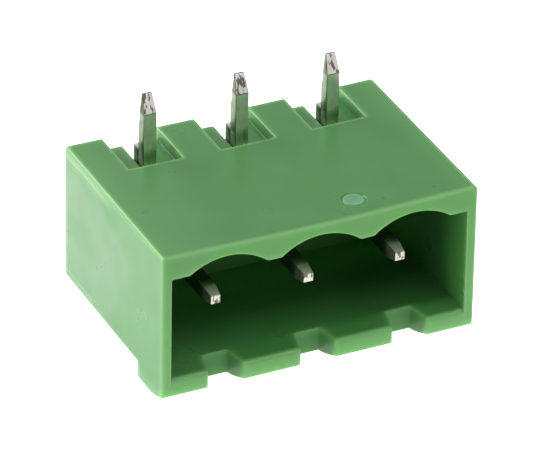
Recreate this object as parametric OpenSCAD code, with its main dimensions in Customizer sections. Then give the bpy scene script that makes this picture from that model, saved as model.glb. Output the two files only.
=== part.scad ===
// Right-angle board header, the fixed half of a pluggable terminal block.
// One moulded shroud with three bent contact pins.
// It stands on the back of its shroud, with the solder ends of the pins up.
// X runs along the row of poles, -Y is the mouth, +Z is the board side.

/* [Poles] */
// Distance between two neighbouring contact pins
pitch = 5.08; // [5.0:0.01:5.16]
// Plastic past the outer pins, from pin centre to outer face
end_margin = 3.54; // [3.4:0.01:3.8]

/* [Shroud] */
// Depth of the shroud from mouth to rear face
shroud_d = 12; // [11.8:0.05:13]
// Height of the shroud without the latch nose
shroud_h = 7.62; // [7.5:0.02:8]
// Thickness of the two end walls
end_wall = 0.53; // [0.45:0.01:0.6]
// Thickness of the wall that carries the latch nose
floor_wall = 0.5; // [0.4:0.02:0.6]
// Thickness of the board side wall between the plug barrels
roof_wall = 1.4; // [1.34:0.01:1.44]
// Thickness of the board side wall past the outer barrels
roof_end_wall = 1.3; // [1.25:0.01:1.34]
// Depth of the mouth cavity
cavity_d = 8.4; // [7.5:0.1:8.6]
// Radius of the outer edges
edge_r = 0.16; // [0.1:0.01:0.2]

/* [Plug barrels] */
// Radius of the round plug barrel at each pole
barrel_r = 3.36; // [3.3:0.02:3.42]
// Distance of the barrel and pin axis from the board face
axis_drop = 3.97; // [3.93:0.01:4.02]

/* [Latch nose] */
// How far the nose stands below the shroud
nose_h = 0.86; // [0.8:0.02:1.1]
// Depth at which the nose ends
nose_d = 3; // [2.8:0.02:3.4]
// Length of the lead-in ramp
nose_ramp = 1.4; // [1.3:0.05:1.8]
// Height of the nose at the mouth
nose_front_h = 0.41; // [0.3:0.01:0.6]

/* [Coding slots] */
// Width of a coding slot at the mouth
slot_front_w = 1.96; // [1.7:0.02:2.1]
// Width of a coding slot at its closed end
slot_rear_w = 1.34; // [1.2:0.02:1.6]
// Depth of a coding slot
slot_d = 1.48; // [1.3:0.02:1.6]

/* [Rear notches] */
// Width of the notch round each solder leg
notch_w = 3; // [2.6:0.05:3.2]
// Depth of the notch from the rear face
notch_d = 3.4; // [3.2:0.05:3.5]
// How far the notch floor lies below the board face
notch_h = 0.7; // [0.6:0.05:0.9]
// Radius of the notch floor at its rear edge
notch_rear_r = 0.12; // [0.08:0.02:0.3]
// Clearance on each side of a pin in its groove
groove_gap = 0.04; // [0.02:0.01:0.1]

/* [Contact pins] */
// Thickness of the pin, along the row
pin_w = 0.72; // [0.6:0.01:0.9]
// Thickness of the solder leg, front to rear
leg_t = 0.68; // [0.62:0.01:0.74]
// Distance from the mouth to the front of the solder leg
leg_y = 9.35; // [9.3:0.01:9.5]
// Height of the solder leg above the board face
leg_h = 3.4; // [3.2:0.05:3.8]
// Thickness of the stiff foot of the solder leg
foot_t = 1.24; // [1:0.01:1.3]
// Height of the foot above the board face
foot_h = 0.17; // [0.1:0.01:0.4]
// Height of the contact blade
blade_h = 0.79; // [0.7:0.01:0.9]
// Distance from the mouth to the tip of the blade
blade_y = 1.4; // [1:0.05:2]

/* [Hidden] */
$fn = 48;
eps = 0.01;
poles = 3;
shroud_w = (poles - 1) * pitch + 2 * end_margin;
total_h = shroud_h + nose_h;
// poles lie at these distances from the middle of the row
pole_x = [for (i = [0 : poles - 1]) (i - (poles - 1) / 2) * pitch];
// height of the board face above the base
top = total_h;
// mouth plane and rear plane
front = -shroud_d / 2;
rear = shroud_d / 2;
axis_z = top - axis_drop;
floor_z = nose_h + floor_wall;
roof_z = top - roof_wall;
roof_end_z = top - roof_end_wall;
cavity_end = front + cavity_d;
leg_front = front + leg_y;
blade_z0 = axis_z - blade_h / 2;
blade_z1 = blade_z0 + blade_h;
inner_w = shroud_w - 2 * end_wall;
mark_r = 0.52;
mark_x = 2.5;
mark_y = front + 1.62;

// rectangle with four rounded corners, standing on the origin corner
module round_rect(w, h, r) {
    translate([r, 0]) square([w - 2 * r, h]);
    translate([0, r]) square([w, h - 2 * r]);
    for (x = [r, w - r], y = [r, h - r]) translate([x, y]) circle(r);
}

// side outline of the shroud and its nose, drawn as (depth, height)
module side_outline() {
    translate([0, nose_h]) round_rect(shroud_d, shroud_h, edge_r);
    polygon([
        [0, nose_h + 1], [0, nose_h - nose_front_h + 0.08], [0.1, nose_h - nose_front_h - 0.06],
        [nose_ramp * 0.6, 0.12], [nose_ramp, 0.0], [nose_d - 0.1, 0],
        [nose_d, 0.1], [nose_d, nose_h + 0.02], [nose_d + 0.12, nose_h + 0.02 ], [nose_d + 0.12, nose_h + 1]
    ]);
}

// turns an outline of (depth, height) into a bar of width w along X
module bar_x(w) {
    translate([-w / 2, front, 0]) rotate([90, 0, 90]) linear_extrude(w) children();
}

module outer_block() {
    intersection() {
        bar_x(shroud_w) side_outline();
        translate([-shroud_w / 2, front, -1]) linear_extrude(total_h + 2) round_rect(shroud_w, shroud_d, edge_r);
        translate([0, rear + 1, 0]) rotate([90, 0, 0]) linear_extrude(shroud_d + 2)
            translate([-shroud_w / 2, -1]) union() {
                translate([0, 0]) round_rect(shroud_w, total_h + 1, edge_r);
                square([shroud_w, 2]);
            }
    }
}

// opening for the plug, its roof follows the round plug barrels
module cavity() {
    intersection() {
        translate([0, cavity_end, 0]) rotate([90, 0, 0]) linear_extrude(cavity_d + 1) {
            translate([-inner_w / 2, floor_z]) square([inner_w, roof_z - floor_z]);
            for (s = [0, 1]) mirror([s, 0, 0])
                translate([pole_x[2], axis_z]) square([inner_w / 2 - pole_x[2], roof_end_z - axis_z]);
            for (x = pole_x) translate([x, axis_z]) circle(barrel_r, $fn = 96);
        }
        translate([-inner_w / 2, front - 1, floor_z]) cube([inner_w, cavity_d + 1, total_h]);
    }
}

// slot through the floor and the nose, wider towards the mouth
module coding_slot() {
    a = slot_rear_w / 2;
    b = slot_front_w / 2;
    translate([0, front, -1]) linear_extrude(floor_z + 1 + eps) {
        polygon([[-b, -1], [-b, 0], [-a, slot_d - 0.12], [-a + 0.12, slot_d], [a - 0.12, slot_d], [a, slot_d - 0.12], [b, 0], [b, -1]]);
        // rounded lips at the mouth
        for (s = [-1, 1]) difference() {
            translate([s * b - 0.16, -0.5]) square([0.32, 0.66]);
            translate([s * (b + 0.17), 0.17]) circle(0.17);
            translate([s > 0 ? b + 0.17 : -b - 0.67, -1]) square([0.5, 2]);
            translate([s > 0 ? b - 0.2 : -b, 0.17]) square([0.2, 0.5]);
        }
    }
}

// shallow notch in the board face that bares the foot of the solder leg
module rear_notch() {
    difference() {
        translate([-notch_w / 2, rear - notch_d, top - notch_h]) cube([notch_w, notch_d + 1, notch_h + 1]);
    }
    // rounded rear edge of the notch floor
    translate([-notch_w / 2, rear - notch_rear_r, top - notch_h - notch_rear_r])
        rotate([90, 0, 90]) linear_extrude(notch_w) difference() {
            square([notch_rear_r + 1, notch_rear_r + 0.1]);
            circle(notch_rear_r);
            translate([-eps, -1]) square([notch_rear_r + 2, 1]);
        }
}

// groove for the upright leg, open to the rear, and the hole for the blade
module pin_groove() {
    w = pin_w + 2 * groove_gap;
    translate([-w / 2, leg_front - 0.02, blade_z0 - 0.25]) cube([w, rear - leg_front + 1, top]);
    translate([-w / 2, cavity_end - 1, blade_z0]) cube([w, leg_front - cavity_end + 1.2, blade_h]);
    // rounded lead-in at the rear face
    for (m = [0, 1]) mirror([m, 0, 0])
        translate([w / 2, rear, blade_z0 - 0.25]) linear_extrude(top) difference() {
            translate([-0.1, -0.28]) square([0.38, 1]);
            translate([0.28, -0.28]) circle(0.28);
        }
}

// flat disc left by the moulding gate
module gate_mark() {
    translate([mark_x, mark_y, top - 0.06]) difference() {
        cylinder(r = mark_r + 0.1, h = 1);
        translate([0, 0, -1]) cylinder(r = mark_r, h = 1.05);
    }
}

module housing() {
    color([0.33, 0.6, 0.33]) difference() {
        outer_block();
        cavity();
        for (x = pole_x) translate([x, 0, 0]) {
            coding_slot();
            rear_notch();
            pin_groove();
        }
        gate_mark();
    }
}

// side outline of a stamped pin as (depth, height) from the mouth
module pin_outline() {
    y0 = blade_y; y1 = leg_y; y2 = leg_y + leg_t; y3 = leg_y + foot_t;
    z0 = blade_z0; z1 = blade_z1; zt = top + leg_h;
    polygon([
        [y0, z0 + 0.17], [y0 + 0.78, z0], [y3 - 0.5, z0], [y3, z0 + 0.5],
        [y3, top + foot_h - 0.05], [y3 - 0.05, top + foot_h], [y2, top + foot_h],
        [y2, top + 1.5], [y2 - 0.15, top + 2.1], [y2 - 0.17, zt],
        [y2 - 0.27, zt], [y1, zt - 1],
        [y1, z1], [y0 + 0.78, z1], [y0, z1 - 0.16]
    ]);
}

// one stamped pin with coined tips, in its place at the given pole
module contact_pin(x) {
    a = pin_w / 2;
    zt = top + leg_h;
    color([0.82, 0.82, 0.8]) translate([x, 0, 0]) intersection() {
        bar_x(pin_w) pin_outline();
        union() {
            // blade seen from above, narrowed at its tip
            translate([0, front, blade_z0 - 1]) linear_extrude(blade_h + 1.5)
                polygon([[-a + 0.09, blade_y], [a - 0.09, blade_y], [a, blade_y + 0.78], [a, leg_y + 2],
                    [-a, leg_y + 2], [-a, blade_y + 0.78]]);
            // leg seen from the front, narrowed at its tip
            translate([0, rear, 0]) rotate([90, 0, 0]) linear_extrude(rear - leg_front + 0.2)
                polygon([[-a, 0], [a, 0], [a, zt - 1], [a - 0.09, zt], [-a + 0.09, zt], [-a, zt - 1]]);
        }
    }
}

module contact_pin_left() { contact_pin(pole_x[0]); }
module contact_pin_middle() { contact_pin(pole_x[1]); }
module contact_pin_right() { contact_pin(pole_x[2]); }

housing();
contact_pin_left();
contact_pin_middle();
contact_pin_right();
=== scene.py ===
"""Looks of a right-angle board header: one moulded housing and three bent contact pins.
Lengths below are in millimetres in the part's own frame, and turn into metres where a mesh is made."""
import math
import bpy
import bmesh
from mathutils import Matrix, Vector


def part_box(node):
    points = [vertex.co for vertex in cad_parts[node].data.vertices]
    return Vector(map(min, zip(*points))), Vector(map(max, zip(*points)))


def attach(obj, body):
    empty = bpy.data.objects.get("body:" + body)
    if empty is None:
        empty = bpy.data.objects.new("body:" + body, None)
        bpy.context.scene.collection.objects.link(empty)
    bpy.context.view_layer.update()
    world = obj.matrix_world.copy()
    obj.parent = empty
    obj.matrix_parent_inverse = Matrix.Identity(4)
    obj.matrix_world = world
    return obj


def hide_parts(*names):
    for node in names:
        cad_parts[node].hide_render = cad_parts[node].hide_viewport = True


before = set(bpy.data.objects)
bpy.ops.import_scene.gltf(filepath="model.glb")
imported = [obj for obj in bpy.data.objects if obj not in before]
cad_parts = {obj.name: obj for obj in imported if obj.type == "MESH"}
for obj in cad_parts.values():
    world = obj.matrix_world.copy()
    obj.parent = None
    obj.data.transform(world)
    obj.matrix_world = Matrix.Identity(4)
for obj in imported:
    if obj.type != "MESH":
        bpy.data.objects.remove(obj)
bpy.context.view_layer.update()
MM = 0.001
h_lo, h_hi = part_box("housing")
POLES = []
for side in ("left", "middle", "right"):
    a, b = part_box("contact_pin_" + side)
    POLES.append((a.x + b.x) / 2 / MM)

# sizes of the housing
HX = h_hi.x / MM
HY = h_hi.y / MM
TOP = h_hi.z / MM
NOSE_Z = 0.86
FLOOR = 1.36
ROOF = 7.08
ROOF_END = 7.18
INNER = HX - 0.53
CAV_END = 2.40
AXIS = TOP - 3.97
BARREL = 3.36
CUSP = math.sqrt(BARREL ** 2 - (ROOF - AXIS) ** 2)
CUSP_END = math.sqrt(BARREL ** 2 - (ROOF_END - AXIS) ** 2)
SLOT, SLOT_REAR, SLOT_END = 0.98, 0.67, -4.52
NOTCH, NOTCH_Y, NOTCH_Z = 1.50, 2.60, 7.78
GROOVE, GROOVE_Y, GROOVE_Z = 0.40, 3.33, 3.865
HOLE0, HOLE1 = 4.115, 4.905
NOSE_D = -3.0


def smooth(t):
    t = max(0.0, min(1.0, t))
    return t * t * (3 - 2 * t)


# ---------------------------------------------------------------- housing mesh
def x_lines():
    found = {-HX, -8.3, -INNER, INNER, 8.3, HX, -7.6, 7.6}
    for n, p in enumerate(POLES):
        for s in (-1, 1):
            outer = (n == 0 and s < 0) or (n == 2 and s > 0)
            for d in (0, 0.2, GROOVE, 0.7, SLOT, 1.25, NOTCH, 1.76):
                found.add(p + s * d)
            if outer:
                found.add(p + s * CUSP_END)
            else:
                found.add(p + s * 1.96)
                found.add(p + s * CUSP)
    for a, b in zip(POLES, POLES[1:]):
        found.add((a + b) / 2)
    out = []
    for v in sorted(found):
        if not out or v - out[-1] > 1e-6:
            out.append(v)
    return out


XS = x_lines()
YS = [-HY, -5.62, -5.4, -5.16, -4.86, SLOT_END, -4.2, -3.6, NOSE_D, -2.0, -1.0, 0.0, 1.0, 1.9, CAV_END, NOTCH_Y, GROOVE_Y, 4.2, 5.0, 5.6, HY]
ZB = (0.95, 0.98, 1.01)
ZT = (7.96, 7.99, 8.02)
ZS = [0.0, NOSE_Z, *ZB, FLOOR, 2.6, GROOVE_Z, HOLE0, HOLE1, 6.0, ROOF, NOTCH_Z, *ZT, TOP]


def pole_of(x):
    return min(POLES, key=lambda p: abs(x - p))


def is_solid(x, y, z):
    px = abs(x - pole_of(x))
    if abs(x) > HX or abs(y) > HY or z > TOP or z < 0:
        return False
    if z < NOSE_Z and y > NOSE_D:
        return False
    if abs(x) < INNER and y < CAV_END and FLOOR < z < ROOF:
        return False
    if px < SLOT and y < SLOT_END and z < FLOOR:
        return False
    if px < NOTCH and y > NOTCH_Y and z > NOTCH_Z:
        return False
    if px < GROOVE and y > GROOVE_Y and z > GROOVE_Z:
        return False
    if px < GROOVE and CAV_END < y < GROOVE_Y + 0.01 and HOLE0 < z < HOLE1:
        return False
    return True


def roof_at(x):
    p = pole_of(x)
    flat = ROOF_END if abs(x) > POLES[2] else ROOF
    d = abs(x - p)
    if d < BARREL:
        return max(flat, AXIS + math.sqrt(BARREL ** 2 - d * d))
    return flat


def nose_at(y):
    points = [(-6.0, 0.425), (-5.62, 0.274), (-5.4, 0.194), (-5.16, 0.118), (-4.86, 0.045), (-4.52, 0.005), (-4.2, 0.0)]
    if y >= points[-1][0]:
        return 0.0
    for (a, za), (b, zb) in zip(points, points[1:]):
        if a - 1e-6 <= y <= b + 1e-6:
            return za + (zb - za) * (y - a) / (b - a)
    return 0.0


def parting(y):
    """Heights of the upper and lower parting line on an end face."""
    t = (y + HY) / (2 * HY)
    return 8.20 + (7.86 - 8.20) * t, 1.10 + (1.24 - 1.10) * t


def placed(x, y, z):
    """Where a grid corner really goes."""
    p = pole_of(x)
    d = x - p
    nx, ny, nz = x, y, z
    if abs(z) < 1e-6:
        nz = nose_at(y)
    side = abs(abs(x) - HX) < 1e-6
    if side:
        zt, zb = parting(y)
        for k, v in enumerate(ZT):
            if abs(z - v) < 1e-6:
                nz = zt + (k - 1) * 0.03
        for k, v in enumerate(ZB):
            if abs(z - v) < 1e-6:
                nz = zb + (k - 1) * 0.03
        if abs(z - NOTCH_Z) < 1e-6:
            nz = zt - 0.3
        if abs(z - FLOOR) < 1e-6:
            nz = zb + 0.25
    elif y <= CAV_END + 1e-6:
        r = roof_at(x)
        if abs(z - ROOF) < 1e-6:
            nz = r
        for v, t in ((NOTCH_Z, 0.3), (ZT[0], 0.55), (ZT[1], 0.68), (ZT[2], 0.8)):
            if abs(z - v) < 1e-6:
                nz = r + t * (8.29 - r)
    if z <= FLOOR + 1e-6 and y <= SLOT_END + 1e-6 and abs(d) <= SLOT + 1e-6:
        t = (y + HY) / (SLOT_END + HY)
        nx = p + d * (1 + (SLOT_REAR / SLOT - 1) * t)
    return nx, ny, nz


def same(a, b):
    return abs(a - b) < 1e-5


WIDEST = 0.28


def edge_width(m, axis, convex):
    """How wide the rounding of a grid edge is, from the middle of the edge and the axis it runs along."""
    x, y, z = m
    ax, px = abs(x), abs(x - pole_of(x))
    if same(px, GROOVE) or (px < GROOVE and (same(y, GROOVE_Y) or same(z, GROOVE_Z) or same(z, HOLE0) or same(z, HOLE1))):
        if axis == 2 and same(y, HY) and z > GROOVE_Z:
            return 0.28
        return 0.03
    if same(y, -HY) and ax < INNER + 1e-5 and FLOOR - 1e-5 < z < ROOF + 1e-5:
        if same(z, FLOOR):
            return 0.30 if axis == 0 else 0.06
        return 0.05
    if px < SLOT + 1e-5 and y < SLOT_END + 1e-5 and z < FLOOR + 1e-5:
        if axis == 2:
            return 0.20 if same(y, -HY) else 0.10
        if same(z, FLOOR):
            return 0.14 if axis == 1 else 0.10
        return 0.10
    if px < NOTCH + 1e-5 and y > NOTCH_Y - 1e-5 and z > NOTCH_Z - 1e-5:
        if same(z, TOP):
            return 0.05 if not same(y, HY) else 0.16
        if same(y, HY):
            return 0.12 if axis == 0 else 0.07
        return 0.07 if axis == 2 else 0.04
    if ax < INNER + 1e-5 and -HY < y < CAV_END + 1e-5 and FLOOR - 1e-5 < z < ROOF + 1e-5:
        return 0.09
    if not convex:
        return 0.12
    if same(z, 0.0):
        return 0.11
    if same(y, -HY) and same(z, TOP):
        return 0.11
    if same(y, -HY) and same(ax, HX):
        return 0.13
    return 0.165


def build_housing():
    bm = bmesh.new()
    verts, owner = {}, {}
    nx, ny, nz = len(XS) - 1, len(YS) - 1, len(ZS) - 1
    solid = {}
    for i in range(nx):
        for j in range(ny):
            for k in range(nz):
                solid[i, j, k] = is_solid((XS[i] + XS[i + 1]) / 2, (YS[j] + YS[j + 1]) / 2, (ZS[k] + ZS[k + 1]) / 2)

    def vert(c):
        if c not in verts:
            verts[c] = bm.verts.new(placed(XS[c[0]], YS[c[1]], ZS[c[2]]))
            owner[verts[c]] = c
        return verts[c]

    sides = {
        (1, 0, 0): [(1, 0, 0), (1, 1, 0), (1, 1, 1), (1, 0, 1)],
        (-1, 0, 0): [(0, 0, 0), (0, 0, 1), (0, 1, 1), (0, 1, 0)],
        (0, 1, 0): [(0, 1, 0), (0, 1, 1), (1, 1, 1), (1, 1, 0)],
        (0, -1, 0): [(0, 0, 0), (1, 0, 0), (1, 0, 1), (0, 0, 1)],
        (0, 0, 1): [(0, 0, 1), (1, 0, 1), (1, 1, 1), (0, 1, 1)],
        (0, 0, -1): [(0, 0, 0), (0, 1, 0), (1, 1, 0), (1, 0, 0)],
    }
    normal_of, cell_of = {}, {}
    for (i, j, k), full in solid.items():
        if not full:
            continue
        for n, corners in sides.items():
            o = (i + n[0], j + n[1], k + n[2])
            if solid.get(o, False):
                continue
            f = bm.faces.new([vert((i + a, j + b, k + c)) for a, b, c in corners])
            normal_of[f] = n
            cell_of[f] = (i, j, k)
    weight = bm.edges.layers.float.new("bevel_weight_edge")
    for e in bm.edges:
        if len(e.link_faces) != 2:
            raise RuntimeError("open edge in the housing")
        fa, fb = e.link_faces
        na, nb = normal_of[fa], normal_of[fb]
        ca, cb = owner[e.verts[0]], owner[e.verts[1]]
        axis = [n for n in range(3) if ca[n] != cb[n]][0]
        a = (XS[ca[0]], YS[ca[1]], ZS[ca[2]])
        b = (XS[cb[0]], YS[cb[1]], ZS[cb[2]])
        m = tuple((p + q) / 2 for p, q in zip(a, b))
        if na == nb:
            # the cusps between the barrels are the only turns inside one grid plane
            if axis == 1 and na == (0, 0, -1) and same(m[2], ROOF):
                d = abs(m[0] - pole_of(m[0]))
                if same(d, CUSP) or (same(d, CUSP_END) and abs(m[0]) > POLES[2]):
                    e[weight] = 0.10 / WIDEST
            continue
        ci = cell_of[fa]
        cj = cell_of[fb]
        # convex where one face looks away from the other's cell
        step = [cj[n] - ci[n] for n in range(3)]
        convex = sum(step[n] * na[n] for n in range(3)) <= 0
        e[weight] = edge_width(m, axis, convex) / WIDEST
    me = bpy.data.meshes.new("housing_rough")
    bm.to_mesh(me)
    bm.free()
    ob = bpy.data.objects.new("housing_rough", me)
    bpy.context.scene.collection.objects.link(ob)
    mod = ob.modifiers.new("round", "BEVEL")
    mod.limit_method = "WEIGHT"
    mod.offset_type = "OFFSET"
    mod.width = WIDEST
    mod.segments = 4
    mod.profile = 0.5
    mod.use_clamp_overlap = False
    mod.loop_slide = True
    mod.miter_outer = "MITER_SHARP"
    bpy.context.view_layer.update()
    done = bpy.data.meshes.new_from_object(ob.evaluated_get(bpy.context.evaluated_depsgraph_get()))
    bpy.data.objects.remove(ob)
    return done


MARK = (2.50, -4.38)


def angle_of(v):
    return math.atan2(v.co.y - MARK[1], v.co.x - MARK[0])


def add_gate_mark(bm):
    """A low domed disc in a shallow ring, in place of a square of the top face."""
    x0, x1 = [v for v in XS if abs(v - 1.5) < 0.02][0], [v for v in XS if abs(v - 3.58) < 0.02][0]
    y0, y1 = -5.4, -3.6
    inside = [f for f in bm.faces if f.normal.z > 0.99 and all(
        x0 - 1e-3 <= v.co.x <= x1 + 1e-3 and y0 - 1e-3 <= v.co.y <= y1 + 1e-3 and abs(v.co.z - TOP) < 1e-3 for v in f.verts)]
    if not inside:
        raise RuntimeError("no top face at the gate mark")
    count = {}
    for f in inside:
        for e in f.edges:
            count[e] = count.get(e, 0) + 1
    rim = [e for e, n in count.items() if n == 1]
    bmesh.ops.delete(bm, geom=inside, context="FACES")
    n = 56
    rings = [(0.71, 0.0), (0.67, 0.0), (0.655, -0.006), (0.635, -0.024), (0.615, -0.055), (0.60, -0.068), (0.58, -0.070),
             (0.56, -0.060), (0.548, -0.035), (0.535, -0.012), (0.515, -0.002), (0.48, -0.003), (0.42, -0.010), (0.34, -0.024), (0.24, -0.038), (0.12, -0.046)]
    made = []
    for r, dz in rings:
        made.append([bm.verts.new((MARK[0] + r * math.cos(2 * math.pi * a / n), MARK[1] + r * math.sin(2 * math.pi * a / n), TOP + dz)) for a in range(n)])
    square = sorted({v for e in rim for v in e.verts}, key=angle_of)
    start = angle_of(square[0])
    turn = lambda v: (angle_of(v) - start) % (2 * math.pi)
    ring = sorted(made[0], key=turn)
    m, i, j = len(square), 0, 0
    while i < m or j < n:
        next_s = (turn(square[i]) + (turn(square[i + 1]) if i + 1 < m else 2 * math.pi)) / 2 if i < m else 1e9
        next_r = (turn(ring[j + 1]) if j + 1 < n else 2 * math.pi + turn(ring[0])) if j < n else 1e9
        if next_s <= next_r:
            bm.faces.new((square[i % m], square[(i + 1) % m], ring[j % n]))
            i += 1
        else:
            bm.faces.new((square[i % m], ring[(j + 1) % n], ring[j % n]))
            j += 1
    for ra, rb in zip(made, made[1:]):
        for a in range(n):
            bm.faces.new((ra[a], ra[(a + 1) % n], rb[(a + 1) % n], rb[a]))
    mid = bm.verts.new((MARK[0], MARK[1], TOP - 0.049))
    for a in range(n):
        bm.faces.new((made[-1][a], made[-1][(a + 1) % n], mid))


def warp(co):
    """The small moulding warp: the board side sags in the middle of the mouth, the barrel arches less."""
    x, y, z = co
    across = 1 - (x / HX) ** 2
    depth = 1 - 0.75 * (y + HY) / (2 * HY)
    arch = 0.085 * across ** 2 * smooth((z - 3.0) / 4.2)
    face = (0.10 * across + 0.055 * across ** 2 - 0.085 * across ** 2) * smooth((z - 7.9) / 0.5)
    return (x, y, z - (arch + face) * depth)


def housing_object():
    me = build_housing()
    bm = bmesh.new()
    bm.from_mesh(me)
    bm.normal_update()
    add_gate_mark(bm)
    # parting lines along the upper and lower edge of both end faces
    for v in bm.verts:
        x, y, z = v.co
        if abs(abs(x) - HX) < 1e-4:
            zt, zb = parting(y)
            if abs(z - zt) < 0.006:
                v.co.x -= math.copysign(0.025 * smooth((y - 0.5) / 3.0), x)
            if abs(z - zb) < 0.006:
                v.co.x -= math.copysign(0.025 * smooth((y - 2.0) / 2.5), x)
    bmesh.ops.recalc_face_normals(bm, faces=bm.faces)
    # vertex weights for the painted edge highlight and for the gate mark's painted reflection
    edge_highlight_layer = bm.verts.layers.float.new("edge_highlight")
    mark_layer = bm.verts.layers.float.new("gate")
    for v in bm.verts:
        r = math.hypot(v.co.x - MARK[0], v.co.y - MARK[1])
        if v.co.z > TOP - 0.1 and r < 0.7:
            v[mark_layer] = smooth((0.60 - r) / 0.06)
            continue
        sharpest = max([e.calc_face_angle_signed(0.0) for e in v.link_edges] or [0.0])
        amount = max(0.0, min(1.0, (math.degrees(sharpest) - 7.0) / 7.0))
        if v.co.z < 1.7 and abs(v.co.x) < INNER + 0.02 and v.co.y < -3.0:
            amount *= 0.45
        v[edge_highlight_layer] = amount
    for v in bm.verts:
        v.co = Vector(warp(v.co)) * MM
    for f in bm.faces:
        f.smooth = True
    out = bpy.data.meshes.new("moulded_housing")
    bm.to_mesh(out)
    bm.free()
    ob = bpy.data.objects.new("moulded_housing", out)
    bpy.context.scene.collection.objects.link(ob)
    mod = ob.modifiers.new("normals", "WEIGHTED_NORMAL")
    mod.mode = "FACE_AREA"
    mod.weight = 60
    mod.keep_sharp = True
    return ob


# ---------------------------------------------------------------- contact pins
def pin_object(name, px):
    z0, z1 = HOLE0, HOLE1
    # corners as (depth y, height z, half width)
    pts = {
        "a0": (-4.60, z0 + 0.17, 0.27), "a1": (-4.60, z1 - 0.16, 0.27),
        "b0": (-3.82, z0, 0.36), "b1": (-3.82, z1, 0.36),
        "c0": (3.35, z0, 0.36), "c1": (3.35, z1, 0.36),
        "d0": (4.03, z0, 0.36), "d1": (4.03, z1, 0.36),
        "e0": (4.09, z0, 0.36), "e1": (4.59, z0 + 0.5, 0.36), "e2": (4.59, z1, 0.36),
        "f0": (3.35, 7.60, 0.36), "f1": (3.96, 7.60, 0.36), "fm": (4.04, 7.60, 0.30), "fn": (4.12, 7.60, 0.36), "f2": (4.59, 7.60, 0.36),
        "u0": (3.35, 8.50, 0.36), "u1": (3.96, 8.50, 0.36), "um": (4.04, 8.50, 0.30), "un": (4.12, 8.50, 0.36), "u2": (4.59, 8.50, 0.36),
        "g0": (3.35, 8.65, 0.36), "g1": (4.03, 8.65, 0.36), "g2": (4.54, 8.65, 0.36), "g3": (4.59, 8.60, 0.36),
        "h0": (3.35, 9.98, 0.36), "h1": (4.03, 9.98, 0.36),
        "i0": (3.35, 10.58, 0.36), "i1": (3.88, 10.58, 0.36),
        "j0": (3.35, 10.88, 0.36), "j1": (3.876, 10.88, 0.36),
        "k0": (3.76, 11.88, 0.27), "k1": (3.86, 11.88, 0.27),
    }
    cells = [
        ("a0", "b0", "b1", "a1"), ("b0", "c0", "c1", "b1"), ("c0", "d0", "d1", "c1"), ("d0", "e0", "e1", "e2", "d1"),
        ("c1", "d1", "f1", "f0"), ("d1", "fm", "f1"), ("d1", "fn", "fm"), ("d1", "e2", "f2", "fn"),
        ("f0", "f1", "u1", "u0"), ("f1", "fm", "um", "u1"), ("fm", "fn", "un", "um"), ("fn", "f2", "u2", "un"),
        ("u0", "u1", "g1", "g0"), ("u1", "um", "g1"), ("um", "un", "g1"), ("un", "u2", "g3", "g2", "g1"),
        ("g0", "g1", "h1", "h0"), ("h0", "h1", "i1", "i0"), ("i0", "i1", "j1", "j0"), ("j0", "j1", "k1", "k0"),
    ]
    bm = bmesh.new()
    near = {k: bm.verts.new((px - w, y, z)) for k, (y, z, w) in pts.items()}
    far = {k: bm.verts.new((px + w, y, z)) for k, (y, z, w) in pts.items()}
    used = {}
    for c in cells:
        bm.faces.new([near[k] for k in reversed(c)])
        bm.faces.new([far[k] for k in c])
        for a, b in zip(c, c[1:] + c[:1]):
            used.setdefault(frozenset((a, b)), []).append((a, b))
    for pairs in used.values():
        if len(pairs) == 1:
            a, b = pairs[0]
            bm.faces.new([near[a], near[b], far[b], far[a]])
    bmesh.ops.recalc_face_normals(bm, faces=bm.faces)
    weight = bm.edges.layers.float.new("bevel_weight_edge")
    for e in bm.edges:
        if len(e.link_faces) != 2:
            raise RuntimeError("open edge in a pin")
        turn = e.link_faces[0].normal.angle(e.link_faces[1].normal)
        ends = [v.co for v in e.verts]
        if turn < math.radians(9) or all(3.9 < c.y < 4.2 and c.z < 8.66 for c in ends):
            continue
        mid = (e.verts[0].co + e.verts[1].co) / 2
        along_x = abs(e.verts[0].co.x - e.verts[1].co.x) > 0.3
        if mid.z > 10.9 or mid.y < -3.9:
            w = 0.035 if along_x else 0.03
        elif turn < math.radians(30):
            w = 0.03
        else:
            w = 0.045
        e[weight] = w / 0.1
    me = bpy.data.meshes.new(name + "_rough")
    bm.to_mesh(me)
    bm.free()
    ob = bpy.data.objects.new(name + "_rough", me)
    bpy.context.scene.collection.objects.link(ob)
    mod = ob.modifiers.new("round", "BEVEL")
    mod.limit_method = "WEIGHT"
    mod.width = 0.1
    mod.segments = 3
    mod.use_clamp_overlap = False
    bpy.context.view_layer.update()
    done = bpy.data.meshes.new_from_object(ob.evaluated_get(bpy.context.evaluated_depsgraph_get()))
    bpy.data.objects.remove(ob)
    done.transform(Matrix.Scale(MM, 4))
    done.name = name
    for p in done.polygons:
        p.use_smooth = True
        # the side faces get a darker, greener copy of the tin, painted shade and painted reflection; the slanted edge
        # faces and the tip tops a darker copy still, painted shade
        if abs(p.normal.x) > 0.95:
            p.material_index = 1
        elif abs(p.normal.x) > 0.3 or (p.normal.z > 0.6 and p.center.z > 11.7 * MM):
            p.material_index = 2
        else:
            p.material_index = 0
    ob = bpy.data.objects.new(name, done)
    bpy.context.scene.collection.objects.link(ob)
    mod = ob.modifiers.new("normals", "WEIGHTED_NORMAL")
    mod.mode = "FACE_AREA"
    mod.weight = 60
    return ob


# ---------------------------------------------------------------- materials
def node(tree, kind, **values):
    n = tree.nodes.new(kind)
    for k, v in values.items():
        if k in n.inputs:
            n.inputs[k].default_value = v
        else:
            setattr(n, k, v)
    return n


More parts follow.
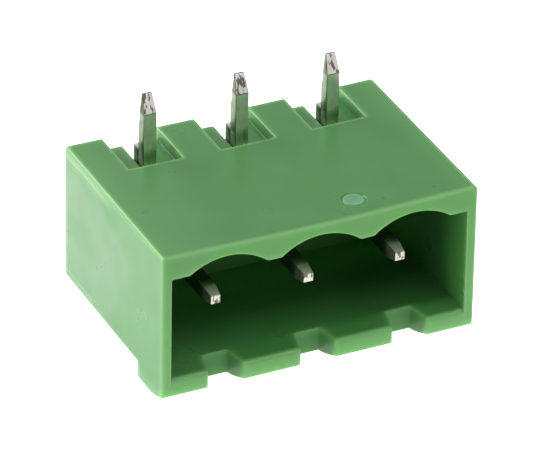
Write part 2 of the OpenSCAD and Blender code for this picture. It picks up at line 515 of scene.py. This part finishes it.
def plastic():
    mat = bpy.data.materials.new("green_plastic")
    mat.use_nodes = True
    t = mat.node_tree
    bsdf = t.nodes["Principled BSDF"]
    where = node(t, "ShaderNodeTexCoord")
    # colour drifts slightly through the moulding
    drift = node(t, "ShaderNodeTexNoise", Scale=260.0, Detail=2.0, Roughness=0.5)
    t.links.new(where.outputs["Object"], drift.inputs["Vector"])
    ramp = node(t, "ShaderNodeValToRGB")
    ramp.color_ramp.elements[0].position = 0.3
    ramp.color_ramp.elements[0].color = (0.047, 0.196, 0.044, 1)
    ramp.color_ramp.elements[1].position = 0.7
    ramp.color_ramp.elements[1].color = (0.058, 0.216, 0.055, 1)
    t.links.new(drift.outputs["Fac"], ramp.inputs["Fac"])
    # painted reflection on the end faces, a painted sheen: a slanting pale field with a clear spot in it
    swirl = node(t, "ShaderNodeTexNoise", Scale=420.0, Detail=2.0, Roughness=0.5, Distortion=0.5)
    t.links.new(where.outputs["Object"], swirl.inputs["Vector"])
    wobble = node(t, "ShaderNodeMapRange")
    wobble.inputs["From Min"].default_value = 0.3
    wobble.inputs["From Max"].default_value = 0.7
    wobble.inputs["To Min"].default_value = -0.55
    wobble.inputs["To Max"].default_value = 0.55
    t.links.new(swirl.outputs["Fac"], wobble.inputs["Value"])

    def side_of(direction, offset, lo, hi):
        d = node(t, "ShaderNodeVectorMath", operation="DOT_PRODUCT")
        d.inputs[1].default_value = direction
        t.links.new(where.outputs["Object"], d.inputs[0])
        e = node(t, "ShaderNodeMath", operation="ADD")
        t.links.new(d.outputs["Value"], e.inputs[0])
        t.links.new(wobble.outputs["Result"], e.inputs[1])
        r = node(t, "ShaderNodeMapRange", interpolation_type="SMOOTHSTEP")
        r.inputs["From Min"].default_value = lo - offset
        r.inputs["From Max"].default_value = hi - offset
        t.links.new(e.outputs["Value"], r.inputs["Value"])
        return r

    below = side_of((0.0, 183.0, -1000.0), 6.73, -0.6, 0.7)
    behind = side_of((0.0, 1000.0, 690.0), -1.264, -0.6, 0.9)
    spot = node(t, "ShaderNodeMapping", vector_type="TEXTURE")
    spot.inputs["Location"].default_value = (0.0, 0.0037, 0.00448)
    spot.inputs["Scale"].default_value = (1.0, 0.00165, 0.00105)
    t.links.new(where.outputs["Object"], spot.inputs["Vector"])
    flat = node(t, "ShaderNodeVectorMath", operation="MULTIPLY")
    flat.inputs[1].default_value = (0.0, 1.0, 1.0)
    t.links.new(spot.outputs["Vector"], flat.inputs[0])
    reach = node(t, "ShaderNodeVectorMath", operation="LENGTH")
    t.links.new(flat.outputs["Vector"], reach.inputs[0])
    wavy = node(t, "ShaderNodeMath", operation="MULTIPLY_ADD")
    wavy.inputs[1].default_value = 0.75
    t.links.new(wobble.outputs["Result"], wavy.inputs[0])
    t.links.new(reach.outputs["Value"], wavy.inputs[2])
    clear = node(t, "ShaderNodeMapRange", interpolation_type="SMOOTHSTEP")
    clear.inputs["From Min"].default_value = 0.65
    clear.inputs["From Max"].default_value = 1.30
    clear.inputs["To Min"].default_value = 0.30
    t.links.new(wavy.outputs["Value"], clear.inputs["Value"])
    field = node(t, "ShaderNodeMath", operation="MULTIPLY")
    t.links.new(below.outputs["Result"], field.inputs[0])
    t.links.new(behind.outputs["Result"], field.inputs[1])
    holed = node(t, "ShaderNodeMath", operation="MULTIPLY")
    t.links.new(field.outputs["Value"], holed.inputs[0])
    t.links.new(clear.outputs["Result"], holed.inputs[1])
    rear_strip = side_of((0.0, 1000.0, 0.0), 0.0, 5.0, 6.0)
    patch = node(t, "ShaderNodeMath", operation="MAXIMUM")
    t.links.new(holed.outputs["Value"], patch.inputs[0])
    t.links.new(rear_strip.outputs["Result"], patch.inputs[1])
    place = node(t, "ShaderNodeSeparateXYZ")
    t.links.new(where.outputs["Object"], place.inputs["Vector"])
    to_end = node(t, "ShaderNodeMapRange", interpolation_type="SMOOTHSTEP")
    to_end.inputs["From Min"].default_value = 0.0080
    to_end.inputs["From Max"].default_value = 0.0086
    to_end.inputs["To Min"].default_value = 0.0
    to_end.inputs["To Max"].default_value = 1.0
    away = node(t, "ShaderNodeMath", operation="ABSOLUTE")
    t.links.new(place.outputs["X"], away.inputs[0])
    t.links.new(away.outputs["Value"], to_end.inputs["Value"])
    sheen_patch = node(t, "ShaderNodeMath", operation="MULTIPLY")
    t.links.new(patch.outputs["Value"], sheen_patch.inputs[0])
    t.links.new(to_end.outputs["Result"], sheen_patch.inputs[1])
    # and the left third of the board side painted paler
    left_pale = node(t, "ShaderNodeMapRange", interpolation_type="SMOOTHSTEP")
    left_pale.inputs["From Min"].default_value = -0.0030
    left_pale.inputs["From Max"].default_value = -0.0080
    left_pale.inputs["To Max"].default_value = 0.30
    t.links.new(place.outputs["X"], left_pale.inputs["Value"])
    off_end = node(t, "ShaderNodeMath", operation="SUBTRACT")
    off_end.inputs[0].default_value = 1.0
    t.links.new(to_end.outputs["Result"], off_end.inputs[1])
    pale_amount = node(t, "ShaderNodeMath", operation="MULTIPLY_ADD")
    t.links.new(left_pale.outputs["Result"], pale_amount.inputs[0])
    t.links.new(off_end.outputs["Value"], pale_amount.inputs[1])
    t.links.new(sheen_patch.outputs["Value"], pale_amount.inputs[2])
    # the pale colour of the painted sheen
    sheen_painted = node(t, "ShaderNodeMix", data_type="RGBA", blend_type="MIX")
    sheen_painted.inputs[7].default_value = (0.112, 0.262, 0.106, 1)
    t.links.new(pale_amount.outputs["Value"], sheen_painted.inputs["Factor"])
    # painted highlight along the outer edges, a painted glow for light coming through the plastic
    rim = node(t, "ShaderNodeAttribute", attribute_name="edge_highlight")
    edge_highlight_amount = node(t, "ShaderNodeMath", operation="MULTIPLY")
    edge_highlight_amount.inputs[1].default_value = 0.9
    t.links.new(rim.outputs["Fac"], edge_highlight_amount.inputs[0])
    # the low front lip is painted brighter, a painted glow
    lip_low = node(t, "ShaderNodeMapRange", interpolation_type="SMOOTHSTEP")
    lip_low.inputs["From Min"].default_value = 0.0012
    lip_low.inputs["From Max"].default_value = 0.0001
    lip_low.inputs["To Max"].default_value = 0.95
    t.links.new(place.outputs["Z"], lip_low.inputs["Value"])
    lip_front = node(t, "ShaderNodeMapRange", interpolation_type="SMOOTHSTEP")
    lip_front.inputs["From Min"].default_value = -0.0054
    lip_front.inputs["From Max"].default_value = -0.0059
    t.links.new(place.outputs["Y"], lip_front.inputs["Value"])
    lip_glow = node(t, "ShaderNodeMath", operation="MULTIPLY")
    t.links.new(lip_low.outputs["Result"], lip_glow.inputs[0])
    t.links.new(lip_front.outputs["Result"], lip_glow.inputs[1])
    edge_highlighted = node(t, "ShaderNodeMix", data_type="RGBA", blend_type="MIX")
    edge_highlighted.inputs[7].default_value = (0.162, 0.350, 0.142, 1)
    t.links.new(edge_highlight_amount.outputs["Value"], edge_highlighted.inputs["Factor"])
    # the thin mouth rim and the two ends are painted brighter, a painted glow for light coming through them
    at_mouth = node(t, "ShaderNodeMapRange", interpolation_type="SMOOTHSTEP")
    at_mouth.inputs["From Min"].default_value = -0.0056
    at_mouth.inputs["From Max"].default_value = -0.0060
    t.links.new(place.outputs["Y"], at_mouth.inputs["Value"])
    at_end = node(t, "ShaderNodeMapRange", interpolation_type="SMOOTHSTEP")
    at_end.inputs["From Min"].default_value = 0.0071
    at_end.inputs["From Max"].default_value = 0.0086
    at_end.inputs["To Max"].default_value = 0.25
    t.links.new(away.outputs["Value"], at_end.inputs["Value"])
    thin = node(t, "ShaderNodeMath", operation="MAXIMUM")
    t.links.new(at_mouth.outputs["Result"], thin.inputs[0])
    t.links.new(at_end.outputs["Result"], thin.inputs[1])

    # the deep walls of the cavity and the ends of the slots get less shine and are painted a brighter green, painted
    # light in the cavity; the notch walls only get less shine
    def within(output, lo, hi):
        a = node(t, "ShaderNodeMath", operation="COMPARE")
        a.inputs[1].default_value = (lo + hi) / 2 * MM
        a.inputs[2].default_value = (hi - lo) / 2 * MM
        t.links.new(output, a.inputs[0])
        return a

    def product(a, b):
        m = node(t, "ShaderNodeMath", operation="MULTIPLY")
        t.links.new(a.outputs[0], m.inputs[0])
        t.links.new(b.outputs[0], m.inputs[1])
        return m

    middle = within(place.outputs["X"], -8.2, 8.2)
    deep_y = node(t, "ShaderNodeMapRange", interpolation_type="SMOOTHSTEP")
    deep_y.inputs["From Min"].default_value = -0.0010
    deep_y.inputs["From Max"].default_value = 0.0018
    t.links.new(place.outputs["Y"], deep_y.inputs["Value"])
    deep_wall = product(product(within(place.outputs["Z"], 1.2, 7.5), within(place.outputs["Y"], -1.1, 3.0)), deep_y)
    slot_end = product(within(place.outputs["Z"], 0.12, 1.33), within(place.outputs["Y"], SLOT_END - 0.2, SLOT_END + 0.2))
    slot_share = node(t, "ShaderNodeMath", operation="MULTIPLY")
    slot_share.inputs[1].default_value = 0.5
    t.links.new(slot_end.outputs[0], slot_share.inputs[0])
    either = node(t, "ShaderNodeMath", operation="MAXIMUM")
    t.links.new(deep_wall.outputs[0], either.inputs[0])
    t.links.new(slot_share.outputs[0], either.inputs[1])
    dull_painted = product(middle, either)
    greener = node(t, "ShaderNodeMapRange")
    greener.inputs["To Max"].default_value = 0.5
    t.links.new(dull_painted.outputs[0], greener.inputs["Value"])
    shine = node(t, "ShaderNodeMapRange")
    shine.inputs["To Min"].default_value = 0.5
    shine.inputs["To Max"].default_value = 0.15
    notch_wall = product(within(place.outputs["Z"], NOTCH_Z - 0.002, 8.36), within(place.outputs["Y"], NOTCH_Y + 0.02, 5.9))
    dull_too = node(t, "ShaderNodeMath", operation="MAXIMUM")
    t.links.new(dull_painted.outputs[0], dull_too.inputs[0])
    t.links.new(product(notch_wall, middle).outputs[0], dull_too.inputs[1])
    t.links.new(dull_too.outputs[0], shine.inputs["Value"])
    t.links.new(shine.outputs["Result"], bsdf.inputs["Specular IOR Level"])
    lively = node(t, "ShaderNodeMath", operation="MAXIMUM")
    t.links.new(thin.outputs[0], lively.inputs[0])
    t.links.new(greener.outputs["Result"], lively.inputs[1])
    glow = node(t, "ShaderNodeMix", data_type="RGBA", blend_type="MIX")
    glow.inputs[7].default_value = (0.115, 0.360, 0.083, 1)
    # painted light on the inner faces of the end walls: painted brighter near the mouth, painted shade in the middle of
    # the cavity
    inner_wall = product(product(within(away.outputs["Value"], 8.0, 8.2), within(place.outputs["Z"], 1.4, 7.3)), within(place.outputs["Y"], -6.1, 2.5))
    near = node(t, "ShaderNodeMapRange", interpolation_type="SMOOTHSTEP")
    near.inputs["From Min"].default_value = -0.0042
    near.inputs["From Max"].default_value = -0.0058
    near.inputs["To Max"].default_value = 0.45
    t.links.new(place.outputs["Y"], near.inputs["Value"])
    livelier = node(t, "ShaderNodeMath", operation="MAXIMUM")
    t.links.new(lively.outputs["Value"], livelier.inputs[0])
    t.links.new(product(inner_wall, near).outputs[0], livelier.inputs[1])
    t.links.new(livelier.outputs["Value"], glow.inputs["Factor"])
    past = node(t, "ShaderNodeMapRange", interpolation_type="SMOOTHSTEP")
    past.inputs["From Min"].default_value = -0.0050
    past.inputs["From Max"].default_value = -0.0030
    past.inputs["To Max"].default_value = 0.75
    t.links.new(place.outputs["Y"], past.inputs["Value"])
    before = node(t, "ShaderNodeMapRange", interpolation_type="SMOOTHSTEP")
    before.inputs["From Min"].default_value = 0.0012
    before.inputs["From Max"].default_value = -0.0018
    t.links.new(place.outputs["Y"], before.inputs["Value"])
    cavity_shade = node(t, "ShaderNodeMix", data_type="RGBA", blend_type="MIX")
    cavity_shade.inputs[7].default_value = (0.022, 0.100, 0.022, 1)
    # and painted shade on the floor of the cavity, darker towards the right end
    floor_face = product(product(middle, within(place.outputs["Z"], 1.30, 1.46)), within(place.outputs["Y"], -5.3, 2.5))
    rightward = node(t, "ShaderNodeMapRange", interpolation_type="SMOOTHSTEP")
    rightward.inputs["From Min"].default_value = -0.0030
    rightward.inputs["From Max"].default_value = 0.0065
    rightward.inputs["To Max"].default_value = 0.8
    t.links.new(place.outputs["X"], rightward.inputs["Value"])
    inward = node(t, "ShaderNodeMapRange", interpolation_type="SMOOTHSTEP")
    inward.inputs["From Min"].default_value = -0.0051
    inward.inputs["From Max"].default_value = -0.0041
    t.links.new(place.outputs["Y"], inward.inputs["Value"])
    shaded = node(t, "ShaderNodeMath", operation="MAXIMUM")
    t.links.new(product(inner_wall, product(past, before)).outputs[0], shaded.inputs[0])
    t.links.new(product(floor_face, product(rightward, product(inward, before))).outputs[0], shaded.inputs[1])
    t.links.new(shaded.outputs[0], cavity_shade.inputs["Factor"])
    t.links.new(glow.outputs[2], cavity_shade.inputs[6])
    t.links.new(ramp.outputs["Color"], glow.inputs[6])
    t.links.new(cavity_shade.outputs[2], sheen_painted.inputs[6])
    t.links.new(sheen_painted.outputs[2], edge_highlighted.inputs[6])
    # mix in the painted glow of the lip
    lip_glowed = node(t, "ShaderNodeMix", data_type="RGBA", blend_type="MIX")
    lip_glowed.inputs[7].default_value = (0.180, 0.490, 0.150, 1)
    t.links.new(lip_glow.outputs["Value"], lip_glowed.inputs["Factor"])
    t.links.new(edge_highlighted.outputs[2], lip_glowed.inputs[6])
    # the disc of the gate mark is painted paler and bluer, a painted reflection
    gate = node(t, "ShaderNodeAttribute", attribute_name="gate")
    gate_sheened = node(t, "ShaderNodeMix", data_type="RGBA", blend_type="MIX")
    gate_sheened.inputs[7].default_value = (0.115, 0.300, 0.150, 1)
    t.links.new(gate.outputs["Fac"], gate_sheened.inputs["Factor"])
    t.links.new(lip_glowed.outputs[2], gate_sheened.inputs[6])
    t.links.new(gate_sheened.outputs[2], bsdf.inputs["Base Color"])
    # gloss varies a little
    gloss = node(t, "ShaderNodeTexNoise", Scale=420.0, Detail=3.0, Roughness=0.55)
    t.links.new(where.outputs["Object"], gloss.inputs["Vector"])
    span = node(t, "ShaderNodeMapRange")
    span.inputs["From Min"].default_value = 0.3
    span.inputs["From Max"].default_value = 0.7
    span.inputs["To Min"].default_value = 0.26
    span.inputs["To Max"].default_value = 0.40
    t.links.new(gloss.outputs["Fac"], span.inputs["Value"])
    t.links.new(span.outputs["Result"], bsdf.inputs["Roughness"])
    # long soft waves
    wave = node(t, "ShaderNodeTexNoise", Scale=330.0, Detail=1.0, Roughness=0.4)
    t.links.new(where.outputs["Object"], wave.inputs["Vector"])
    b1 = node(t, "ShaderNodeBump", Strength=1.0, Distance=0.000025)
    t.links.new(wave.outputs["Fac"], b1.inputs["Height"])
    t.links.new(b1.outputs["Normal"], bsdf.inputs["Normal"])
    bsdf.inputs["IOR"].default_value = 1.52
    bsdf.inputs["Subsurface Weight"].default_value = 0.7
    bsdf.inputs["Subsurface Radius"].default_value = (0.6, 1.0, 0.22)
    bsdf.inputs["Subsurface Scale"].default_value = 0.0009
    return mat


def tin(name, dark, light, smudged):
    mat = bpy.data.materials.new(name)
    mat.use_nodes = True
    t = mat.node_tree
    bsdf = t.nodes["Principled BSDF"]
    where = node(t, "ShaderNodeTexCoord")
    # drawing lines run up the leg and along the blade
    up_leg = node(t, "ShaderNodeMapping")
    up_leg.inputs["Scale"].default_value = (7000, 7000, 350)
    t.links.new(where.outputs["Object"], up_leg.inputs["Vector"])
    on_blade = node(t, "ShaderNodeMapping")
    on_blade.inputs["Scale"].default_value = (7000, 350, 7000)
    t.links.new(where.outputs["Object"], on_blade.inputs["Vector"])
    parts = node(t, "ShaderNodeSeparateXYZ")
    t.links.new(where.outputs["Object"], parts.inputs["Vector"])
    is_leg = node(t, "ShaderNodeMath", operation="GREATER_THAN")
    is_leg.inputs[1].default_value = 0.0033
    t.links.new(parts.outputs["Y"], is_leg.inputs[0])
    stretch = node(t, "ShaderNodeMix", data_type="VECTOR")
    t.links.new(is_leg.outputs["Value"], stretch.inputs["Factor"])
    t.links.new(on_blade.outputs["Vector"], stretch.inputs[4])
    t.links.new(up_leg.outputs["Vector"], stretch.inputs[5])
    lines = node(t, "ShaderNodeTexNoise", Scale=1.0, Detail=2.0, Roughness=0.5)
    t.links.new(stretch.outputs[1], lines.inputs["Vector"])
    cloud = node(t, "ShaderNodeTexNoise", Scale=1800.0, Detail=3.0, Roughness=0.6)
    t.links.new(where.outputs["Object"], cloud.inputs["Vector"])
    ramp = node(t, "ShaderNodeValToRGB")
    ramp.color_ramp.elements[0].position = 0.35
    ramp.color_ramp.elements[0].color = dark
    ramp.color_ramp.elements[1].position = 0.65
    ramp.color_ramp.elements[1].color = light
    t.links.new(cloud.outputs["Fac"], ramp.inputs["Fac"])
    # painted shade on the blade behind its coined tip, where it lies in the cavity
    deep = node(t, "ShaderNodeMapRange", interpolation_type="SMOOTHSTEP")
    deep.inputs["From Min"].default_value = -0.0040
    deep.inputs["From Max"].default_value = -0.0031
    t.links.new(parts.outputs["Y"], deep.inputs["Value"])
    not_leg = node(t, "ShaderNodeMath", operation="SUBTRACT")
    not_leg.inputs[0].default_value = 1.0
    t.links.new(is_leg.outputs["Value"], not_leg.inputs[1])
    blade_shade_amount = node(t, "ShaderNodeMath", operation="MULTIPLY")
    t.links.new(deep.outputs["Result"], blade_shade_amount.inputs[0])
    t.links.new(not_leg.outputs["Value"], blade_shade_amount.inputs[1])
    dull_painted = node(t, "ShaderNodeMix", data_type="RGBA", blend_type="MIX")
    dull_painted.inputs[7].default_value = (0.16, 0.17, 0.14, 1)
    t.links.new(blade_shade_amount.outputs["Value"], dull_painted.inputs["Factor"])
    t.links.new(ramp.outputs["Color"], dull_painted.inputs[6])
    # scraped and smeared tin where the strip was cut: solder tips and blade tips
    above = node(t, "ShaderNodeMath", operation="GREATER_THAN")
    above.inputs[1].default_value = 0.01087
    t.links.new(parts.outputs["Z"], above.inputs[0])
    ahead = node(t, "ShaderNodeMath", operation="LESS_THAN")
    ahead.inputs[1].default_value = -0.00456
    t.links.new(parts.outputs["Y"], ahead.inputs[0])
    cut = node(t, "ShaderNodeMath", operation="MAXIMUM")
    t.links.new(above.outputs["Value"], cut.inputs[0])
    t.links.new(ahead.outputs["Value"], cut.inputs[1])
    coined = node(t, "ShaderNodeMapRange", interpolation_type="SMOOTHSTEP")
    coined.inputs["From Min"].default_value = -0.0034
    coined.inputs["From Max"].default_value = -0.0040
    t.links.new(parts.outputs["Y"], coined.inputs["Value"])
    near_tip = node(t, "ShaderNodeMath", operation="MAXIMUM")
    t.links.new(above.outputs["Value"], near_tip.inputs[0])
    t.links.new(coined.outputs["Result"], near_tip.inputs[1])
    slant = node(t, "ShaderNodeMapping")
    slant.inputs["Rotation"].default_value = (0.0, 0.9, 0.0)
    slant.inputs["Scale"].default_value = (5200, 2600, 1700)
    t.links.new(where.outputs["Object"], slant.inputs["Vector"])
    scrape = node(t, "ShaderNodeTexNoise", Scale=1.0, Detail=4.0, Roughness=0.62)
    t.links.new(slant.outputs["Vector"], scrape.inputs["Vector"])
    band = node(t, "ShaderNodeMapRange", interpolation_type="SMOOTHSTEP")
    band.inputs["From Min"].default_value = 0.535
    band.inputs["From Max"].default_value = 0.575
    t.links.new(scrape.outputs["Fac"], band.inputs["Value"])
    how = node(t, "ShaderNodeMath", operation="MULTIPLY")
    t.links.new(band.outputs["Result"], how.inputs[0])
    t.links.new(cut.outputs["Value"], how.inputs[1])
    # a fine dark line where the coining starts
    crease = node(t, "ShaderNodeMath", operation="COMPARE")
    crease.inputs[1].default_value = 0.010865
    crease.inputs[2].default_value = 0.000024
    t.links.new(parts.outputs["Z"], crease.inputs[0])
    marked = node(t, "ShaderNodeMath", operation="MAXIMUM")
    t.links.new(how.outputs["Value"], marked.inputs[0])
    t.links.new(crease.outputs["Value"], marked.inputs[1])
    stained = node(t, "ShaderNodeMix", data_type="RGBA", blend_type="MIX")
    stained.inputs[7].default_value = smudged
    t.links.new(marked.outputs["Value"], stained.inputs["Factor"])
    t.links.new(dull_painted.outputs[2], stained.inputs[6])
    t.links.new(stained.outputs[2], bsdf.inputs["Base Color"])
    span = node(t, "ShaderNodeMapRange")
    span.inputs["To Min"].default_value = 0.18
    span.inputs["To Max"].default_value = 0.43
    t.links.new(lines.outputs["Fac"], span.inputs["Value"])
    blunt = node(t, "ShaderNodeMix", data_type="FLOAT")
    blunt.inputs["B"].default_value = 0.62
    t.links.new(near_tip.outputs["Value"], blunt.inputs["Factor"])
    t.links.new(span.outputs["Result"], blunt.inputs["A"])
    t.links.new(blunt.outputs["Result"], bsdf.inputs["Roughness"])
    b1 = node(t, "ShaderNodeBump", Strength=1.0, Distance=0.0000035)
    t.links.new(lines.outputs["Fac"], b1.inputs["Height"])
    t.links.new(b1.outputs["Normal"], bsdf.inputs["Normal"])
    bsdf.inputs["Metallic"].default_value = 1.0
    return mat


green = plastic()
metal = tin("tinned_contact", (0.80, 0.74, 0.69, 1), (0.92, 0.88, 0.84, 1), (0.22, 0.195, 0.165, 1))
# darker copies of the tin for the pins' sides and edges, painted shade
side_shaded = tin("tinned_contact_side_shade", (0.15, 0.20, 0.125, 1), (0.24, 0.29, 0.20, 1), (0.12, 0.11, 0.09, 1))

edge_shaded = tin("tinned_contact_edge_shade", (0.07, 0.08, 0.06, 1), (0.16, 0.18, 0.14, 1), (0.06, 0.055, 0.045, 1))

housing = housing_object()
housing.data.materials.append(green)
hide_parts("housing")
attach(housing, "root")
for side, px in zip(("left", "middle", "right"), POLES):
    pin = pin_object("tinned_pin_" + side, px)
    pin.data.materials.append(metal)
    pin.data.materials.append(side_shaded)
    pin.data.materials.append(edge_shaded)
    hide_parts("contact_pin_" + side)
    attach(pin, "root")

# ---------------------------------------------------------------- floor, light, camera
def sheet_mesh(name, corners):
    me = bpy.data.meshes.new(name)
    me.from_pydata([Vector(c) * MM for c in corners], [], [tuple(range(len(corners)))])
    ob = bpy.data.objects.new(name, me)
    bpy.context.scene.collection.objects.link(ob)
    return ob


floor = sheet_mesh("floor", [(-3000, -3000, -0.02), (3000, -3000, -0.02), (3000, 3000, -0.02), (-3000, 3000, -0.02)])
white = bpy.data.materials.new("light_table")
white.use_nodes = True
b = white.node_tree.nodes["Principled BSDF"]
b.inputs["Base Color"].default_value = (0.8, 0.8, 0.8, 1)
b.inputs["Roughness"].default_value = 0.9
b.inputs["Emission Color"].default_value = (1, 1, 1, 1)
ft = white.node_tree
spot = node(ft, "ShaderNodeTexCoord")
spot_xyz = node(ft, "ShaderNodeSeparateXYZ")
ft.links.new(spot.outputs["Object"], spot_xyz.inputs["Vector"])
fade = node(ft, "ShaderNodeMapRange", interpolation_type="SMOOTHSTEP")
fade.inputs["From Min"].default_value = -0.020
fade.inputs["From Max"].default_value = -0.0085
fade.inputs["To Min"].default_value = 0.18
fade.inputs["To Max"].default_value = 0.72
ft.links.new(spot_xyz.outputs["Y"], fade.inputs["Value"])
direct = node(ft, "ShaderNodeLightPath")
lit = node(ft, "ShaderNodeMix", data_type="FLOAT")
lit.inputs["B"].default_value = 1.05
ft.links.new(direct.outputs["Is Camera Ray"], lit.inputs["Factor"])
ft.links.new(fade.outputs["Result"], lit.inputs["A"])
ft.links.new(lit.outputs["Result"], b.inputs["Emission Strength"])
white.cycles.emission_sampling = "NONE"
floor.data.materials.append(white)

world = bpy.data.worlds.new("studio")
world.use_nodes = True
wt = world.node_tree
sky = wt.nodes["Background"]
sky.inputs["Color"].default_value = (1, 1, 1, 1)
# the room is darker in front of the object, where nobody put a light
toward = node(wt, "ShaderNodeTexCoord")
facing = node(wt, "ShaderNodeVectorMath", operation="DOT_PRODUCT")
facing.inputs[1].default_value = (-0.30, -0.94, 0.15)
wt.links.new(toward.outputs["Generated"], facing.inputs[0])
dim = node(wt, "ShaderNodeMapRange", interpolation_type="SMOOTHSTEP")
dim.inputs["From Min"].default_value = 0.28
dim.inputs["From Max"].default_value = 0.86
dim.inputs["To Min"].default_value = 0.74
dim.inputs["To Max"].default_value = 0.24
wt.links.new(facing.outputs["Value"], dim.inputs["Value"])
seen = node(wt, "ShaderNodeLightPath")
pick = node(wt, "ShaderNodeMix", data_type="FLOAT")
pick.inputs["B"].default_value = 1.0
wt.links.new(seen.outputs["Is Camera Ray"], pick.inputs["Factor"])
wt.links.new(dim.outputs["Result"], pick.inputs["A"])
wt.links.new(pick.outputs["Result"], sky.inputs["Strength"])
bpy.context.scene.world = world


def softbox(name, place, aim, size, watts, color=(1, 1, 1)):
    data = bpy.data.lights.new(name, "AREA")
    data.shape = "RECTANGLE"
    data.size, data.size_y = size[0] * MM, size[1] * MM
    data.energy = watts
    data.color = color
    ob = bpy.data.objects.new(name, data)
    ob.location = Vector(place) * MM
    ob.rotation_mode = "QUATERNION"
    ob.rotation_quaternion = (Vector(aim) - Vector(place)).to_track_quat("-Z", "Y")
    bpy.context.scene.collection.objects.link(ob)
    return ob


softbox("soft_left", (-400, 0, 90), (0, 0, 4), (300, 240), 0.72)
softbox("soft_back_left", (-42, 58, 50), (0, 0, 6), (50, 40), 0.036)
softbox("soft_top", (0, -185, 400), (0, 0, 6), (320, 240), 0.73)
softbox("front_card", (170, -410, 80), (0, 0, 8), (150, 90), 0.02)

cam_data = bpy.data.cameras.new("camera")
cam_data.lens = 362.8126
cam_data.sensor_width = 36.0
cam_data.clip_start, cam_data.clip_end = 0.02, 20.0
cam = bpy.data.objects.new("camera", cam_data)
right = Vector((0.904108, -0.426999, 0.016158))
up = Vector((0.20884, 0.474547, 0.855097))
back = Vector((-0.372793, -0.769726, 0.518216))
turn = Matrix((right, up, back)).transposed().to_4x4()
cam.matrix_world = Matrix.Translation(Vector((-102.0463, -210.7967, 146.9411)) * MM) @ turn
bpy.context.scene.collection.objects.link(cam)
bpy.context.scene.camera = cam
bpy.context.scene.view_settings.view_transform = "Standard"
